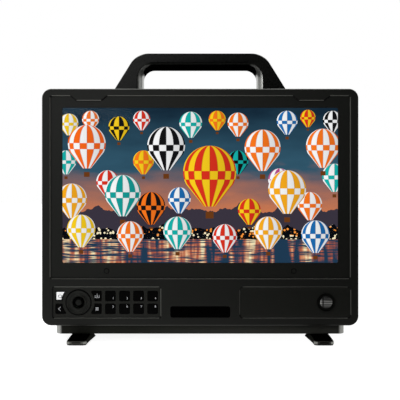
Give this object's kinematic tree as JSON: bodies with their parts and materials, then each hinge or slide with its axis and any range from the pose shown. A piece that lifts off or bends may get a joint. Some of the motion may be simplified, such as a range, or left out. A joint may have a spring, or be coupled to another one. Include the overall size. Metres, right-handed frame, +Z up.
{
  "type": "camera field monitor",
  "caption": "Flat camera field monitor with a wide screen, carry handle, keypad round a jog dial and thumb stick, volume knob, rear connectors and swing-out feet.",
  "frame": {"origin": "middle of the object's box, on the surface that it stands on", "axes": "+X to the viewer's right, the screen faces -Y, +Z up"},
  "size_m": [0.3328, 0.112, 0.3063],
  "materials": {
    "body_metal": "fine matte black coat",
    "handle_metal": "satin black coat",
    "base_metal": "satin dark grey coat",
    "foot_metal": "satin dark grey coat",
    "screen_glass": "clear, coated",
    "screen_panel": "lit picture",
    "inner_metal": "plain",
    "diffuser_plastic": "white",
    "board_green": "solder mask",
    "screw_steel": "dark zinc",
    "insert_brass": "plain",
    "key_plastic": "satin black",
    "key_lit": "lit white",
    "panel_plastic": "matte black",
    "dial_plastic": "satin black",
    "stick_rubber": "soft matte",
    "inner_plastic": "plain black",
    "stick_steel": "plain",
    "knob_metal": "turned",
    "badge_gloss": "bare gloss black",
    "magnet_metal": "black",
    "gasket_rubber": "foam",
    "pad_rubber": "matte",
    "connector_coat": "matte black coat",
    "connector_metal": "nickel",
    "socket_plastic": "black"
  },
  "bodies": {
    "monitor": {"front_bezel": "body_metal", "screen_gasket": "gasket_rubber", "cover_glass": "screen_glass", "lcd_panel": "screen_panel", "backlight_unit": "diffuser_plastic", "mid_plate": "inner_metal", "main_board": "board_green", "heat_sink": "inner_metal", "guard_magnets": "magnet_metal", "badge_plate": "badge_gloss", "control_panel": "panel_plastic", "key_board": "board_green", "key_switches": "inner_plastic", "dial_guide": "inner_plastic", "joystick_base": "inner_plastic", "side_panel": "panel_plastic", "volume_pot": "inner_plastic", "pot_nut": "screw_steel", "rear_housing": "body_metal", "housing_screws": "screw_steel", "small_screws": "screw_steel", "fan_frame": "inner_plastic", "rear_inserts": "insert_brass", "connector_panel": "connector_coat", "connector_board": "board_green", "bnc_jacks": "connector_metal", "bnc_nuts": "connector_metal", "hdmi_sockets": "connector_metal", "power_socket": "socket_plastic", "headphone_jack": "socket_plastic", "handle": "handle_metal", "handle_screws": "screw_steel", "base_plate": "base_metal", "base_plate_screws": "screw_steel", "thread_inserts": "insert_brass", "foot_pivots": "screw_steel", "rear_bumpers": "pad_rubber"},
    "power_key": {"power_key": "key_lit"},
    "back_key": {"back_key": "key_plastic"},
    "input_key": {"input_key": "key_plastic"},
    "menu_key": {"menu_key": "key_plastic"},
    "function_key_1": {"function_key_1": "key_plastic"},
    "function_key_2": {"function_key_2": "key_plastic"},
    "function_key_3": {"function_key_3": "key_plastic"},
    "function_key_4": {"function_key_4": "key_plastic"},
    "function_key_5": {"function_key_5": "key_plastic"},
    "function_key_6": {"function_key_6": "key_plastic"},
    "function_key_7": {"function_key_7": "key_plastic"},
    "function_key_8": {"function_key_8": "key_plastic"},
    "jog_dial": {"jog_dial": "dial_plastic"},
    "joystick_yoke": {"joystick_yoke": "inner_plastic"},
    "joystick_stick": {"joystick_stick": "stick_steel"},
    "joystick_cap": {"joystick_cap": "stick_rubber"},
    "volume_knob": {"volume_knob": "knob_metal", "knob_shaft": "screw_steel"},
    "foot_left": {"foot_arm_left": "foot_metal", "foot_pad_left": "pad_rubber"},
    "foot_right": {"foot_arm_right": "foot_metal", "foot_pad_right": "pad_rubber"},
    "fan_rotor": {"fan_rotor": "inner_plastic"}
  },
  "joints": [
    {"name": "power_key_press", "type": "slide", "parent": "monitor", "child": "power_key", "axis": [0, 1, 0], "range_m": [0, 0.0008], "stiffness_N_per_m": 1000},
    {"name": "back_key_press", "type": "slide", "parent": "monitor", "child": "back_key", "axis": [0, 1, 0], "range_m": [0, 0.0008], "stiffness_N_per_m": 1000},
    {"name": "input_key_press", "type": "slide", "parent": "monitor", "child": "input_key", "axis": [0, 1, 0], "range_m": [0, 0.0008], "stiffness_N_per_m": 1000},
    {"name": "menu_key_press", "type": "slide", "parent": "monitor", "child": "menu_key", "axis": [0, 1, 0], "range_m": [0, 0.0008], "stiffness_N_per_m": 1000},
    {"name": "function_key_1_press", "type": "slide", "parent": "monitor", "child": "function_key_1", "axis": [0, 1, 0], "range_m": [0, 0.0008], "stiffness_N_per_m": 1000},
    {"name": "function_key_2_press", "type": "slide", "parent": "monitor", "child": "function_key_2", "axis": [0, 1, 0], "range_m": [0, 0.0008], "stiffness_N_per_m": 1000},
    {"name": "function_key_3_press", "type": "slide", "parent": "monitor", "child": "function_key_3", "axis": [0, 1, 0], "range_m": [0, 0.0008], "stiffness_N_per_m": 1000},
    {"name": "function_key_4_press", "type": "slide", "parent": "monitor", "child": "function_key_4", "axis": [0, 1, 0], "range_m": [0, 0.0008], "stiffness_N_per_m": 1000},
    {"name": "function_key_5_press", "type": "slide", "parent": "monitor", "child": "function_key_5", "axis": [0, 1, 0], "range_m": [0, 0.0008], "stiffness_N_per_m": 1000},
    {"name": "function_key_6_press", "type": "slide", "parent": "monitor", "child": "function_key_6", "axis": [0, 1, 0], "range_m": [0, 0.0008], "stiffness_N_per_m": 1000},
    {"name": "function_key_7_press", "type": "slide", "parent": "monitor", "child": "function_key_7", "axis": [0, 1, 0], "range_m": [0, 0.0008], "stiffness_N_per_m": 1000},
    {"name": "function_key_8_press", "type": "slide", "parent": "monitor", "child": "function_key_8", "axis": [0, 1, 0], "range_m": [0, 0.0008], "stiffness_N_per_m": 1000},
    {"name": "jog_dial_turn", "type": "hinge", "parent": "monitor", "child": "jog_dial", "pos_m": [-0.12795, -0.0264, 0.0403], "axis": [0, 1, 0], "continuous": true},
    {"name": "joystick_tilt_up_down", "type": "hinge", "parent": "monitor", "child": "joystick_yoke", "pos_m": [-0.12795, -0.011, 0.0403], "axis": [1, 0, 0], "range_deg": [-5, 5], "stiffness_Nm_per_rad": 0.05},
    {"name": "joystick_tilt_left_right", "type": "hinge", "parent": "joystick_yoke", "child": "joystick_stick", "pos_m": [-0.12795, -0.011, 0.0403], "axis": [0, 0, 1], "range_deg": [-5, 5], "stiffness_Nm_per_rad": 0.05},
    {"name": "joystick_press", "type": "slide", "parent": "joystick_stick", "child": "joystick_cap", "axis": [0, 1, 0], "range_m": [0, 0.0005], "stiffness_N_per_m": 1500},
    {"name": "volume_knob_turn", "type": "hinge", "parent": "monitor", "child": "volume_knob", "pos_m": [0.1326, -0.0271, 0.0403], "axis": [0, 1, 0], "range_deg": [-150, 150]},
    {"name": "foot_left_swing", "type": "hinge", "parent": "monitor", "child": "foot_left", "pos_m": [-0.1262, -0.0027, 0.006], "axis": [0, 0, 1], "range_deg": [0, 90]},
    {"name": "foot_right_swing", "type": "hinge", "parent": "monitor", "child": "foot_right", "pos_m": [0.1262, -0.0027, 0.006], "axis": [0, 0, 1], "range_deg": [-90, 0]},
    {"name": "fan_spin", "type": "hinge", "parent": "monitor", "child": "fan_rotor", "pos_m": [0.0915, 0.027, 0.16345], "axis": [0, 1, 0], "continuous": true}
  ]
}
